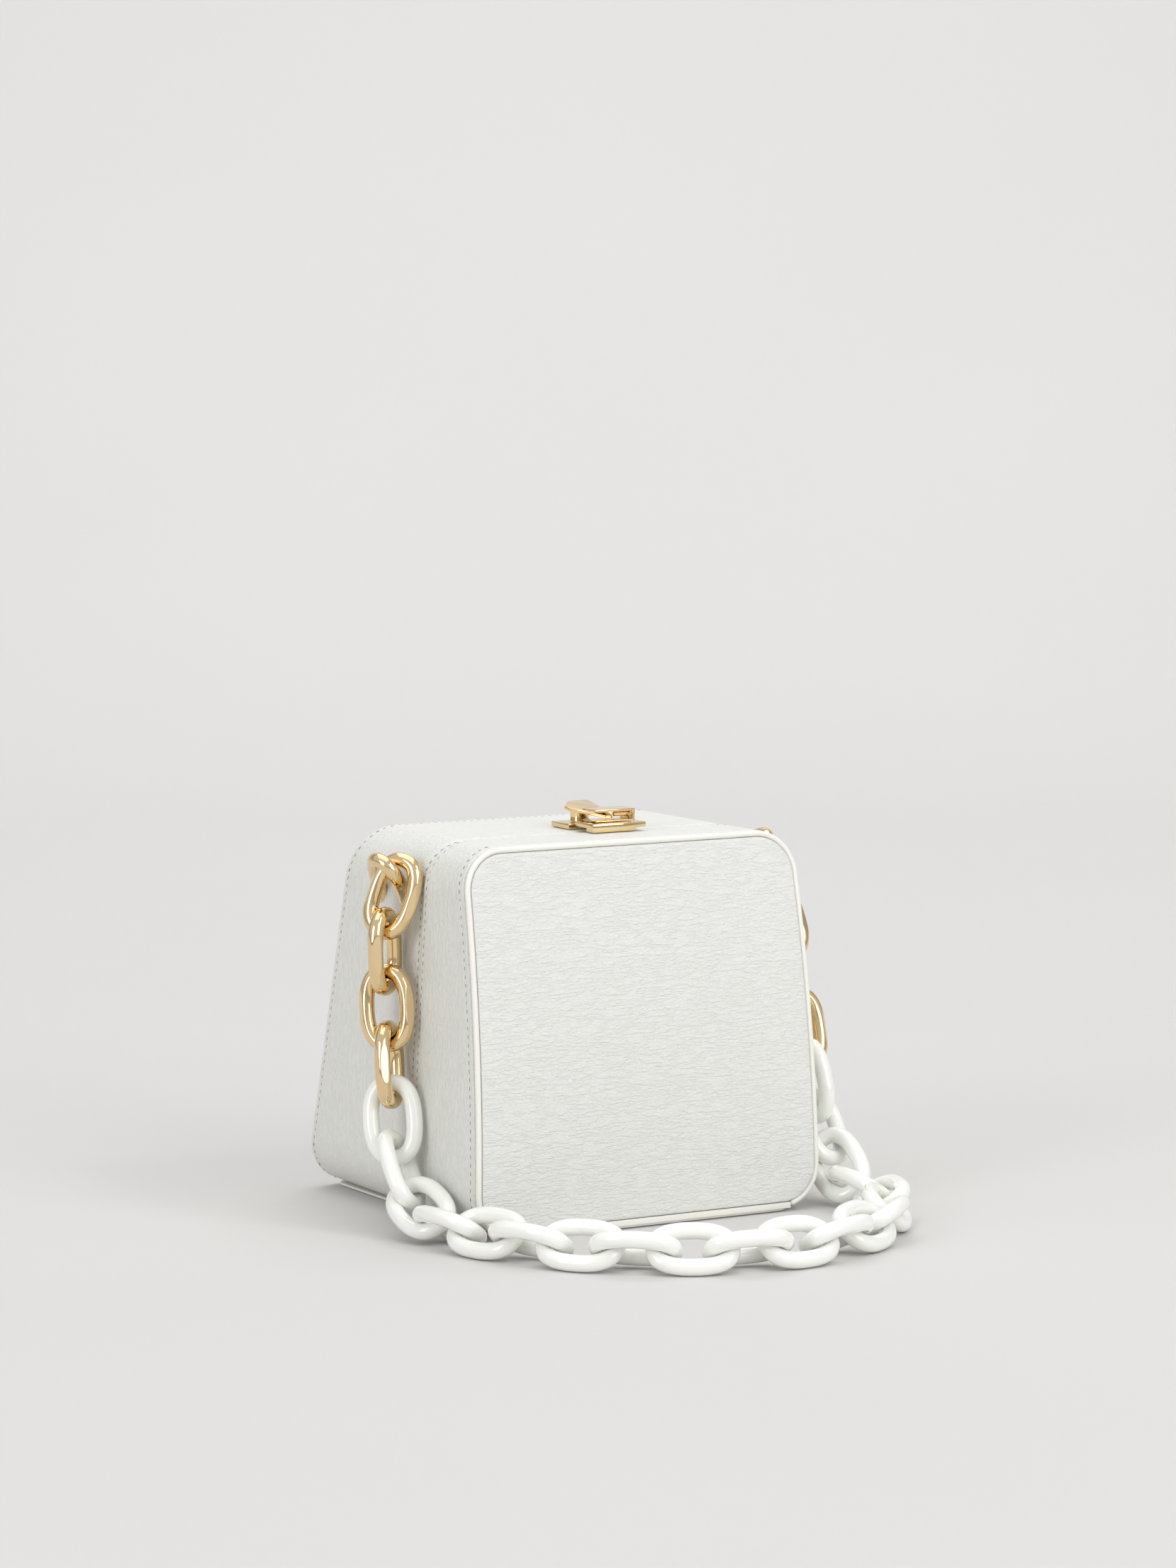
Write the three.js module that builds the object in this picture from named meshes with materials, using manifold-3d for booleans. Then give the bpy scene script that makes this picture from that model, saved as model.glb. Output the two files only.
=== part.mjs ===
// A boxy leather handbag: a cube that widens towards its base, built as two stitched
// leather halves on a base plate, with a lever latch on top and a chunky link chain.
// Millimetres, +Z up. x runs along the width, the front faces -y, and the origin is the
// middle of the base plate's underside, on the surface that the bag stands on.
import * as THREE from "three";
import { mergeVertices } from "three/addons/utils/BufferGeometryUtils.js";
import Module from "manifold-3d";

const wasm = await Module();
wasm.setup();

// Driving dimensions of the leather body
const seatGap = 0.3;
const bodyHeight = 149.7;
const topWidth = 150;
const bottomWidth = 156.7;
const bottomDepth = 146;
const topDepth = 93;
const frontLean = 16.7;
const frontBow = 4.7;
const frontCornerRadius = 17;
const backCornerRadius = 20;
const leatherWall = 2.5;
const panelThickness = 3;
const seamSetbackTop = 30;
const seamSetbackBottom = 57.5;
const seamRecessDepth = 0.8;
const seamRecessWidth = 7;

// Piping round the front panel
const pipingDiameter = 2.3;
const pipingSeatClearance = 0.5;

// Base plate: its edge is raised off the floor, and its front edge turns up into a lip
const basePlateThickness = 1.4;
const basePlateSetback = 1.5;
const basePlateOverhang = 4;
const basePlateCorner = 6;
const basePlateRise = { height: 0.5, width: 4 };
const frontLip = { bottom: 1.6, top: 3.9, thickness: 2.2, setback: 0.1 };

// Latch, placed from the middle of the body's top edge line
const latchPlateThickness = 2.1;
const backPlateSize = { width: 18, depth: 14 };
const postDiameter = 7.6;
const postHeight = 5.3;
const pinDiameter = 3.4;
const pinClearance = 0.1;
const leverThickness = 1.3;
const leverTiltDeg = 11;
const frontFootSize = { width: 20, depth: 5.6, height: 1.4 };
const slabSize = { width: 24.4, depth: 14.5 };
const keeperSize = { width: 18, depth: 10.4, height: 4.85, wall: 0.85, floor: 0.5 };
const keeperOverhang = 1;
const keeperPin = { length: 6.5, diameter: 2 };

// Chain
const goldLink = { length: 35, width: 23, wire: 6.1, sides: 6 };
const enamelLink = { length: 36, width: 24, wire: 6.6, sides: 6 };
const wallRing = { length: 46, width: 21.5, wire: 5.8, sides: 6 };
const linkSegments = 14;
const linkGap = 0.6;
const goldLinksPerSide = 4;
const hangingEnamel = { left: 2, right: 3 };
const floorEnamelLinks = 15;
const tautFloorLinks = 9;
const tautSlack = 0.7;
const riseSlack = { left: 1, right: 2.4 };

const colours = {
  leather: 0xe4e5e0,
  piping: 0xf0eee4,
  gold: 0xd9b45c,
  enamel: 0xebeee6,
};

function material(colour, roughness, metalness) {
  return new THREE.MeshStandardMaterial({ color: colour, roughness, metalness });
}

const leather = material(colours.leather, 0.6, 0);
const edging = material(colours.piping, 0.5, 0);
const gold = material(colours.gold, 0.2, 1);
const enamel = material(colours.enamel, 0.15, 0);

// Heights of the body, from the floor
const leatherBottom = basePlateThickness + seatGap;
const leatherTop = leatherBottom + bodyHeight;

function heightShare(z) {
  return (z - leatherBottom) / bodyHeight;
}

function halfWidth(z) {
  return (bottomWidth + (topWidth - bottomWidth) * heightShare(z)) / 2;
}

function frontY(z) {
  const h = heightShare(z);
  return -bottomDepth / 2 + frontLean * h - 4 * frontBow * h * (1 - h);
}

function backY(z) {
  const topY = -bottomDepth / 2 + frontLean + topDepth;
  return bottomDepth / 2 + (topY - bottomDepth / 2) * heightShare(z);
}

function seamY(z) {
  const bottomY = -bottomDepth / 2 + seamSetbackBottom;
  const topY = -bottomDepth / 2 + frontLean + seamSetbackTop;
  return bottomY + (topY - bottomY) * heightShare(z);
}

// A closed solid from a chain of rings with equal point counts, closed at both ends on a
// single point each.
function solidFromRings(firstPoint, rings, lastPoint) {
  const count = rings[0].length;
  const positions = [firstPoint, ...rings.flat(), lastPoint].flatMap((p) => p.toArray());
  const indices = [];
  for (let i = 0; i < count; i += 1) {
    const j = (i + 1) % count;
    indices.push(0, 1 + i, 1 + j);
    for (let r = 0; r + 1 < rings.length; r += 1) {
      const here = 1 + r * count;
      const next = here + count;
      indices.push(here + i, next + j, here + j, here + i, next + i, next + j);
    }
    const last = 1 + (rings.length - 1) * count;
    indices.push(last + j, last + i, 1 + rings.length * count);
  }
  const geometry = new THREE.BufferGeometry();
  geometry.setAttribute("position", new THREE.Float32BufferAttribute(positions, 3));
  geometry.setIndex(indices);
  return geometry;
}

// Rounded outline of the body, pulled in by an inset, in the plane or curved face yAt(z).
const cornerSteps = 6;
const plateCornerSteps = 5;
const sideSteps = 8;

function outlinePoints(inset, cornerRadius) {
  const points = [];
  const arc = Math.max(cornerRadius - inset, 0.5);
  const lowZ = leatherBottom + inset + arc;
  const highZ = leatherTop - inset - arc;
  const corners = [
    { side: 1, z: lowZ, start: -90 },
    { side: 1, z: highZ, start: 0 },
    { side: -1, z: highZ, start: 90 },
    { side: -1, z: lowZ, start: 180 },
  ];
  for (const [index, corner] of corners.entries()) {
    for (let step = 0; step <= cornerSteps; step += 1) {
      const angle = THREE.MathUtils.degToRad(corner.start + (90 * step) / cornerSteps);
      const z = corner.z + arc * Math.sin(angle);
      const x = corner.side * (halfWidth(z) - inset - arc) + arc * Math.cos(angle);
      points.push(new THREE.Vector2(x, z));
    }
    const from = points.at(-1);
    const next = corners[(index + 1) % corners.length];
    const nextAngle = THREE.MathUtils.degToRad(next.start);
    const nextZ = next.z + arc * Math.sin(nextAngle);
    const nextX = next.side * (halfWidth(nextZ) - inset - arc) + arc * Math.cos(nextAngle);
    for (let step = 1; step < sideSteps; step += 1) {
      const share = step / sideSteps;
      points.push(from.clone().lerp(new THREE.Vector2(nextX, nextZ), share));
    }
  }
  return points;
}

function ringAt(inset, cornerRadius, yAt) {
  return outlinePoints(inset, cornerRadius).map((p) => new THREE.Vector3(p.x, yAt(p.y), p.y));
}

// Rings that fill a face from its outline to its middle, following the face's own curve.
const faceShares = [0.75, 0.5, 0.25];

function faceRings(inset, cornerRadius, yAt) {
  const middleZ = (leatherBottom + leatherTop) / 2;
  return faceShares.map((share) =>
    outlinePoints(inset, cornerRadius).map((p) => {
      const z = middleZ + (p.y - middleZ) * share;
      return new THREE.Vector3(p.x * share, yAt(z), z);
    }),
  );
}

function faceMiddle(yAt) {
  const middleZ = (leatherBottom + leatherTop) / 2;
  return new THREE.Vector3(0, yAt(middleZ), middleZ);
}

const seamCornerRadius = (frontCornerRadius + backCornerRadius) / 2;

// Front half: a panel with a band round it, open at the seam. Its front edge has a step
// in which the piping lies.
const pipingStep = pipingDiameter + pipingSeatClearance;

function frontShell() {
  const radius = frontCornerRadius;
  const outerFace = (z) => frontY(z);
  const stepFace = (z) => frontY(z) + pipingStep;
  const seam = (z) => seamY(z) - seatGap / 2;
  const innerFace = (z) => frontY(z) + panelThickness;
  const innerBend = (z) => innerFace(z) + panelThickness;
  const innerInset = leatherWall + panelThickness;
  const rings = [
    ...faceRings(pipingStep, radius, outerFace).reverse(),
    ringAt(pipingStep, radius, outerFace),
    ringAt(pipingStep, radius, stepFace),
    ringAt(0, radius, stepFace),
    ringAt(0, seamCornerRadius, seam),
    ringAt(leatherWall, seamCornerRadius, seam),
    ringAt(leatherWall, radius, innerBend),
    ringAt(innerInset, radius, innerFace),
    ...faceRings(innerInset, radius, innerFace),
  ];
  return solidFromRings(faceMiddle(outerFace), rings, faceMiddle(innerFace));
}

// Back half: the same on the other side of the seam, a little sunk beside it.
function backShell() {
  const radius = backCornerRadius;
  const outerFace = (z) => backY(z);
  const seam = (z) => seamY(z) + seatGap / 2;
  const recessEnd = (z) => seam(z) + seamRecessWidth;
  const innerFace = (z) => backY(z) - panelThickness;
  const innerInset = leatherWall;
  const rings = [
    ...faceRings(innerInset, radius, innerFace).reverse(),
    ringAt(innerInset, radius, innerFace),
    ringAt(innerInset + seamRecessDepth, seamCornerRadius, seam),
    ringAt(seamRecessDepth, seamCornerRadius, seam),
    ringAt(0, seamCornerRadius, recessEnd),
    ringAt(0, radius, outerFace),
    ...faceRings(0, radius, outerFace),
  ];
  return solidFromRings(faceMiddle(innerFace), rings, faceMiddle(outerFace));
}

// Piping from the plate's one end, up over the top and down to its other end.
const pipingSteps = 60;
const pipingSides = 8;

function pipingPath() {
  const middle = pipingDiameter / 2 + 0.05;
  const outline = outlinePoints(middle, frontCornerRadius);
  const perSide = cornerSteps + sideSteps;
  const from = 1;
  const to = 3 * perSide + cornerSteps - 1;
  const points = outline.slice(from, to + 1);
  return new THREE.CatmullRomCurve3(
    points.map((p) => new THREE.Vector3(p.x, frontY(p.y) + middle, p.y)),
    false,
    "centripetal",
  );
}

function tubeAlong(path, diameter, sides, steps) {
  const section = new THREE.Shape();
  for (let side = 0; side < sides; side += 1) {
    const angle = (2 * Math.PI * side) / sides;
    const x = (diameter / 2) * Math.cos(angle);
    const y = (diameter / 2) * Math.sin(angle);
    if (side === 0) {
      section.moveTo(x, y);
    } else {
      section.lineTo(x, y);
    }
  }
  section.closePath();
  return new THREE.ExtrudeGeometry(section, { steps, extrudePath: path, bevelEnabled: false });
}

// Closed meshes to manifold solids and back, for cuts and joins
function toSolid(geometry, matrix = new THREE.Matrix4()) {
  const bare = geometry.clone().applyMatrix4(matrix);
  bare.deleteAttribute("normal");
  bare.deleteAttribute("uv");
  const merged = mergeVertices(bare, 1e-4);
  return new wasm.Manifold(
    new wasm.Mesh({
      numProp: 3,
      vertProperties: new Float32Array(merged.attributes.position.array),
      triVerts: new Uint32Array(merged.index.array),
    }),
  );
}

function toGeometry(solid) {
  const mesh = solid.getMesh();
  const geometry = new THREE.BufferGeometry();
  geometry.setAttribute("position", new THREE.BufferAttribute(mesh.vertProperties, 3));
  geometry.setIndex(new THREE.BufferAttribute(mesh.triVerts, 1));
  return geometry;
}

function boxSolid(min, max) {
  const size = max.clone().sub(min);
  const middle = min.clone().add(max).multiplyScalar(0.5);
  const place = new THREE.Matrix4().makeTranslation(middle.x, middle.y, middle.z);
  return toSolid(new THREE.BoxGeometry(size.x, size.y, size.z), place);
}

function uprightCylinder(diameter, lowZ, highZ, x, y, sides) {
  const geometry = new THREE.CylinderGeometry(diameter / 2, diameter / 2, highZ - lowZ, sides);
  const place = new THREE.Matrix4().makeTranslation(x, y, (lowZ + highZ) / 2);
  place.multiply(new THREE.Matrix4().makeRotationX(Math.PI / 2));
  return toSolid(geometry, place);
}

// Base plate: flat under the middle of the body, with rounded corners
const basePlateHalf = {
  x: bottomWidth / 2 - frontCornerRadius + basePlateOverhang,
  y: bottomDepth / 2 - basePlateSetback,
};

function plateRing(inset, z) {
  const points = [];
  const arc = basePlateCorner - inset * 0.5;
  const corner = { x: basePlateHalf.x - inset - arc, y: basePlateHalf.y - inset - arc };
  const turns = [
    { x: corner.x, y: corner.y, start: 90 },
    { x: -corner.x, y: corner.y, start: 180 },
    { x: -corner.x, y: -corner.y, start: 270 },
    { x: corner.x, y: -corner.y, start: 0 },
  ];
  for (const turn of turns) {
    for (let step = 0; step <= plateCornerSteps; step += 1) {
      const angle = THREE.MathUtils.degToRad(turn.start + (90 * step) / plateCornerSteps - 90);
      const x = turn.x + arc * Math.cos(angle);
      points.push(new THREE.Vector3(x, turn.y + arc * Math.sin(angle), z));
    }
  }
  return points;
}

function basePlate() {
  const rings = [
    plateRing(0, basePlateThickness),
    plateRing(0, basePlateRise.height),
    plateRing(basePlateRise.width, 0),
  ];
  const underside = new THREE.Vector3(0, 0, 0);
  const topside = new THREE.Vector3(0, 0, basePlateThickness);
  const plate = toSolid(solidFromRings(topside, rings, underside));
  const front = -bottomDepth / 2 + frontLip.setback;
  const lipSection = new THREE.Shape([
    new THREE.Vector2(front, frontLip.bottom),
    new THREE.Vector2(front + basePlateSetback + basePlateRise.width, basePlateRise.height / 2),
    new THREE.Vector2(front + basePlateSetback + basePlateRise.width, basePlateThickness),
    new THREE.Vector2(front + frontLip.thickness, basePlateThickness),
    new THREE.Vector2(front + frontLip.thickness, frontLip.top),
    new THREE.Vector2(front, frontLip.top),
  ]);
  const lipHalf = basePlateHalf.x - 1;
  const lip = new THREE.ExtrudeGeometry(lipSection, { depth: 2 * lipHalf, bevelEnabled: false });
  const place = new THREE.Matrix4().set(0, 0, 1, -lipHalf, 1, 0, 0, 0, 0, 1, 0, 0, 0, 0, 0, 1);
  return toGeometry(plate.add(toSolid(lip, place)));
}

// A link: a torus whose two halves are moved apart to give straight legs. It lies in its
// own xy plane with its long axis along y.
function linkGeometry(link, wire = link.wire) {
  const arcRadius = (link.width - link.wire) / 2;
  const legHalf = (link.length - link.width) / 2;
  const geometry = new THREE.TorusGeometry(arcRadius, wire / 2, link.sides, linkSegments);
  geometry.rotateZ(Math.PI / linkSegments);
  const position = geometry.attributes.position;
  for (let i = 0; i < position.count; i += 1) {
    const y = position.getY(i);
    position.setY(i, y + Math.sign(y) * legHalf);
  }
  return geometry;
}

// The ring in each side wall: a long link whose inner end is inside the bag, so that its
// two legs pass through the leather. Its tip points up and forwards, clear of the wall.
const ringTip = new THREE.Vector3(-88.2, -16, 143);
const ringRoot = new THREE.Vector3(-75.5, 0, 127.9);
const ringHoleClearance = 0.35;

function frameMatrix(centre, along, across) {
  const y = along.clone().normalize();
  const z = across.clone().cross(y).normalize();
  const x = y.clone().cross(z);
  return new THREE.Matrix4().makeBasis(x, y, z).setPosition(centre);
}

function ringMatrix(side) {
  const flip = new THREE.Vector3(-side, 1, 1);
  const tip = ringTip.clone().multiply(flip);
  const along = tip.clone().sub(ringRoot.clone().multiply(flip)).normalize();
  const reach = (wallRing.length - wallRing.wire) / 2;
  const centre = tip.clone().addScaledVector(along, -reach);
  return frameMatrix(centre, along, new THREE.Vector3(0, 1, 0));
}

// Route of the chain from the left ring to the right ring: a few chosen points, in order,
// each on the line through the places where links meet.
const routeLeft = [
  [-80.6, -17, 140.2],
  [-87.6, -14.9, 118.3],
  [-86.8, -14.8, 95.9],
  [-87.5, -18.3, 73.5],
  [-88.5, -22.4, 50.9],
  [-89.5, -29.5, 25.3],
  [-90.7, -45.1, 13.3],
  [-90.7, -54.5, 9.4],
  [-88.5, -78, 9],
  [-82, -99, 9],
  [-73.5, -118.5, 9],
  [-61.5, -136, 9],
  [-45.5, -150.5, 9],
  [-27, -161, 9],
  [-6, -166, 9],
];
const routeRight = [
  [15, -165, 9],
  [35.5, -159, 9],
  [53.5, -148.5, 9],
  [69, -134, 9],
  [81, -118, 9],
  [88, -100, 9],
  [91, -84, 9],
  [89.8, -74.7, 9.7],
  [90.8, -65.7, 13.1],
  [90.3, -56.7, 25.8],
  [92, -46, 39],
  [91, -42, 54],
  [90.5, -38, 72],
  [89.5, -32, 92],
  [88.8, -26, 106],
  [87.4, -21, 118.5],
  [80.6, -17, 140.2],
];

function routeSamples() {
  const points = [...routeLeft, ...routeRight].map((p) => new THREE.Vector3(...p));
  const curve = new THREE.CatmullRomCurve3(points, false, "centripetal");
  return curve.getPoints(6000);
}

// Where a step of the given length along the route ends, as an index into its samples.
function stepAlong(samples, from, span) {
  let index = from;
  while (index < samples.length - 1 && samples[index].distanceTo(samples[from]) < span) {
    index += 1;
  }
  return index;
}

function linkSpans(floorSpan) {
  const goldSpan = goldLink.length - 2 * goldLink.wire - linkGap;
  const enamelSpan = enamelLink.length - 2 * enamelLink.wire - linkGap;
  const goldSpans = Array(goldLinksPerSide).fill(goldSpan);
  const floorSpans = Array(floorEnamelLinks).fill(floorSpan);
  floorSpans.fill(enamelSpan - tautSlack, 0, tautFloorLinks);
  const leftSpans = Array(hangingEnamel.left).fill(enamelSpan - riseSlack.left);
  const rightSpans = Array(hangingEnamel.right).fill(enamelSpan - riseSlack.right);
  return [...goldSpans, ...leftSpans, ...floorSpans, ...rightSpans, ...goldSpans];
}

function walkRoute(samples, floorSpan) {
  const stops = [0];
  for (const span of linkSpans(floorSpan)) {
    stops.push(stepAlong(samples, stops.at(-1), span));
  }
  return stops;
}

// The links on the floor share out the slack that the route leaves.
function chainJoints() {
  const samples = routeSamples();
  let low = enamelLink.length / 2;
  let high = enamelLink.length;
  for (let round = 0; round < 30; round += 1) {
    const middle = (low + high) / 2;
    if (walkRoute(samples, middle).at(-1) < samples.length - 1) {
      low = middle;
    } else {
      high = middle;
    }
  }
  return walkRoute(samples, low).map((index) => samples[index]);
}

// Links take turns. Lying ones have their low leg on the outer or the inner side of the
// run; hanging ones turn their width by these degrees from +x, changing with height, with a
// quarter turn between neighbours.
const outerLowLean = THREE.MathUtils.degToRad(40);
const innerLowLean = THREE.MathUtils.degToRad(33);
const hangingTurn = {
  left: { low: -40.9, high: -55, quarter: 90 },
  right: { low: 195.9, high: 150, quarter: -90 },
};
const twistHeights = { low: 20, high: 130 };

function hangingWidth(z, isOuterLow, side) {
  const turn = side < 0 ? hangingTurn.left : hangingTurn.right;
  const share = THREE.MathUtils.smoothstep(z, twistHeights.low, twistHeights.high);
  const degrees = turn.low + (turn.high - turn.low) * share + (isOuterLow ? 0 : turn.quarter);
  const angle = THREE.MathUtils.degToRad(degrees);
  return new THREE.Vector3(Math.cos(angle), Math.sin(angle), 0);
}

function widthDirection(along, centre, isOuterLow) {
  const up = new THREE.Vector3(0, 0, 1);
  const inward = up.clone().cross(along).normalize();
  const lean = isOuterLow ? outerLowLean : -innerLowLean;
  const lying = inward.multiplyScalar(Math.cos(lean)).addScaledVector(up, Math.sin(lean));
  const hanging = hangingWidth(centre.z, isOuterLow, centre.x);
  const upright = Math.abs(along.z);
  const width = lying.multiplyScalar(1 - upright).addScaledVector(hanging, upright);
  return width.addScaledVector(along, -width.dot(along)).normalize();
}

function chainLinks() {
  const joints = chainJoints();
  const links = [];
  for (let i = 0; i + 1 < joints.length; i += 1) {
    const along = joints[i + 1].clone().sub(joints[i]).normalize();
    const centre = joints[i].clone().add(joints[i + 1]).multiplyScalar(0.5);
    const width = widthDirection(along, centre, i % 2 === 0);
    links.push(frameMatrix(centre, along, width));
  }
  return links;
}

const group = new THREE.Group();

function addMesh(name, geometry, finish, matrix) {
  const mesh = new THREE.Mesh(geometry, finish);
  mesh.name = name;
  if (matrix) {
    mesh.applyMatrix4(matrix);
  }
  group.add(mesh);
  return mesh;
}

// The back half's wall is cut where the legs of the two rings pass through it.
function backShellWithHoles() {
  const cutter = linkGeometry(wallRing, wallRing.wire + 2 * ringHoleClearance);
  let solid = toSolid(backShell());
  for (const side of [-1, 1]) {
    solid = solid.subtract(toSolid(cutter, ringMatrix(side)));
  }
  return toGeometry(solid);
}

addMesh("front_shell", frontShell(), leather);
addMesh("back_shell", backShellWithHoles(), leather);
addMesh("front_piping", tubeAlong(pipingPath(), pipingDiameter, pipingSides, pipingSteps), edging);
addMesh("base_plate", basePlate(), edging);

// Latch. Heights go up from the leather's top; x and y are in the body's frame.
const latchFloor = leatherTop + seatGap;
const frontTopY = -bottomDepth / 2 + frontLean;
const seamTopY = frontTopY + seamSetbackTop;
const post = { x: 3.3, y: seamTopY + 16 };

function backPlate() {
  const half = { x: backPlateSize.width / 2, y: backPlateSize.depth / 2 };
  const plate = boxSolid(
    new THREE.Vector3(post.x - half.x, post.y - half.y, latchFloor),
    new THREE.Vector3(post.x + half.x, post.y + half.y, latchFloor + latchPlateThickness),
  );
  const plateTop = latchFloor + latchPlateThickness;
  const pinTop = plateTop + postHeight;
  const pin = uprightCylinder(pinDiameter, latchFloor + 1, pinTop, post.x, post.y, 16);
  return toGeometry(plate.add(pin));
}

// Plan of the lever, from the post: a paddle behind and a hook that reaches forwards.
const leverPlan = [
  { x: -2.8, y: 4.5 },
  { x: -8.2, y: -2.2 },
  { x: -7.3, y: -6 },
  { x: -1.3, y: -12.5 },
  { x: 2.2, y: -17.5 },
  { x: 5.2, y: -17.5 },
  { x: 6.6, y: -8 },
  { x: 6.2, y: 4.5 },
];

function lever() {
  const plateTop = latchFloor + latchPlateThickness;
  const collarBottom = plateTop + seatGap;
  const collarTop = plateTop + postHeight + 1;
  const shape = new THREE.Shape(leverPlan.map((p) => new THREE.Vector2(p.x, p.y)));
  const plateGeometry = new THREE.ExtrudeGeometry(shape, {
    depth: leverThickness,
    bevelEnabled: false,
  });
  const place = new THREE.Matrix4().makeTranslation(post.x, post.y, collarTop);
  place.multiply(new THREE.Matrix4().makeRotationX(THREE.MathUtils.degToRad(leverTiltDeg)));
  place.multiply(new THREE.Matrix4().makeTranslation(0, 0, -0.4));
  const collar = uprightCylinder(postDiameter, collarBottom, collarTop + 0.1, post.x, post.y, 20);
  const boreDiameter = pinDiameter + 2 * pinClearance;
  const boreTop = plateTop + postHeight + pinClearance;
  const bore = uprightCylinder(boreDiameter, collarBottom - 1, boreTop, post.x, post.y, 16);
  return toGeometry(collar.add(toSolid(plateGeometry, place)).subtract(bore));
}

const keeperX = { min: -4.4, max: -4.4 + frontFootSize.width };
const keeperFrontY = frontTopY + 21.8;

function frontPlate() {
  const footTop = latchFloor + frontFootSize.height;
  const foot = boxSolid(
    new THREE.Vector3(keeperX.min, keeperFrontY, latchFloor),
    new THREE.Vector3(keeperX.max, keeperFrontY + frontFootSize.depth, footTop),
  );
  const slab = boxSolid(
    new THREE.Vector3(keeperX.min, keeperFrontY, footTop),
    new THREE.Vector3(
      keeperX.min + slabSize.width,
      keeperFrontY + slabSize.depth,
      footTop + latchPlateThickness,
    ),
  );
  return toGeometry(foot.add(slab));
}

function keeperFrame() {
  const bottom = latchFloor + frontFootSize.height + latchPlateThickness + seatGap;
  const top = bottom + keeperSize.height;
  const right = keeperX.max + keeperOverhang;
  const left = right - keeperSize.width;
  const nearY = keeperFrontY + 3.2;
  const farY = nearY + keeperSize.depth;
  const wall = keeperSize.wall;
  const outer = boxSolid(
    new THREE.Vector3(left, nearY, bottom),
    new THREE.Vector3(right, farY, top),
  );
  const inner = boxSolid(
    new THREE.Vector3(left - wall, nearY - wall, bottom + keeperSize.floor),
    new THREE.Vector3(right - wall, farY + wall, top - wall),
  );
  const pinGeometry = new THREE.CylinderGeometry(
    keeperPin.diameter / 2,
    keeperPin.diameter / 2,
    keeperPin.length,
    6,
  );
  const place = new THREE.Matrix4().makeTranslation(
    right - wall / 2 - keeperPin.length / 2,
    (nearY + farY) / 2,
    (bottom + top) / 2,
  );
  place.multiply(new THREE.Matrix4().makeRotationZ(Math.PI / 2));
  return toGeometry(outer.subtract(inner).add(toSolid(pinGeometry, place)));
}

addMesh("latch_back_plate", backPlate(), gold);
addMesh("latch_lever", lever(), gold);
addMesh("latch_front_plate", frontPlate(), gold);
addMesh("latch_keeper", keeperFrame(), gold);

// Rings and links
addMesh("ring_left", linkGeometry(wallRing), gold, ringMatrix(-1));
addMesh("ring_right", linkGeometry(wallRing), gold, ringMatrix(1));

const enamelCount = hangingEnamel.left + floorEnamelLinks + hangingEnamel.right;

for (const [index, matrix] of chainLinks().entries()) {
  const afterLeft = index - goldLinksPerSide;
  const afterEnamel = afterLeft - enamelCount;
  if (afterLeft < 0) {
    addMesh(`gold_link_left_${index + 1}`, linkGeometry(goldLink), gold, matrix);
  } else if (afterEnamel < 0) {
    addMesh(`enamel_link_${afterLeft + 1}`, linkGeometry(enamelLink), enamel, matrix);
  } else {
    const number = goldLinksPerSide - afterEnamel;
    addMesh(`gold_link_right_${number}`, linkGeometry(goldLink), gold, matrix);
  }
}

export default group;
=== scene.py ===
"""Looks of a boxy white leather handbag with a lever latch and a chain of large links.

Metres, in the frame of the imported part: +Z up, the front face towards -Y.
"""

import math

import bmesh
import bpy
import numpy as np
from mathutils import Matrix, Vector


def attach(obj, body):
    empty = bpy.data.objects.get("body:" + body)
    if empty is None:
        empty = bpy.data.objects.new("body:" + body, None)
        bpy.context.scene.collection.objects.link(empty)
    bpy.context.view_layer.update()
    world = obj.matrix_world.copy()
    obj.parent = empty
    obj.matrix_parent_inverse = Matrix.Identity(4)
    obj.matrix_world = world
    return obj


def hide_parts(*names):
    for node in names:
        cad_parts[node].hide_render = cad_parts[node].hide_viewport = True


MM = 0.001

# Body, in millimetres, as in the part
LEATHER_BOTTOM = 1.7
BODY_HEIGHT = 149.7
TOP_WIDTH = 150
BOTTOM_WIDTH = 156.7
BOTTOM_DEPTH = 146
TOP_DEPTH = 93
FRONT_LEAN = 16.7
FRONT_BOW = 4.7
FRONT_RADIUS = 17
BACK_RADIUS = 20
SEAM_RADIUS = (FRONT_RADIUS + BACK_RADIUS) / 2
WALL = 2.5
PANEL = 3
SEAM_SETBACK_TOP = 30
SEAM_SETBACK_BOTTOM = 57.5
SEAM_RECESS = 0.8
SEAM_RECESS_START = 0.5
SEAM_RECESS_WIDTH = 7
SEAM_HALF_GAP = 0.15
PIPING_DIAMETER = 2.3
PIPING_STEP = 2.8
PIPING_GAP = 0.05
PANEL_EDGE_INSET = 2.48
SMALLEST_RADIUS = 0.5
MIDDLE_Z = LEATHER_BOTTOM + BODY_HEIGHT / 2

# Rounded edges of the leather, as rows of inset and setback in millimetres
PANEL_EDGE_WIDTH = 1.5
PANEL_EDGE = [(0.7, 0.03), (0.3, 0.13), (0.08, 0.35), (0, 0.7)]
BAND_EDGE = [(0.75, 0), (0.3, 0.12), (0.06, 0.45)]
BAND_EDGE_WIDTH = 0.9
SEAM_EDGE = [(0.08, 0.5), (0.35, 0.22), (0.8, SEAM_HALF_GAP)]
BACK_EDGE = [(0.1, 0.6), (0.35, 0.22), (0.8, 0.03)]
BACK_EDGE_WIDTH = 1.3
BACK_EDGE_SETBACK = 1.1

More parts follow.
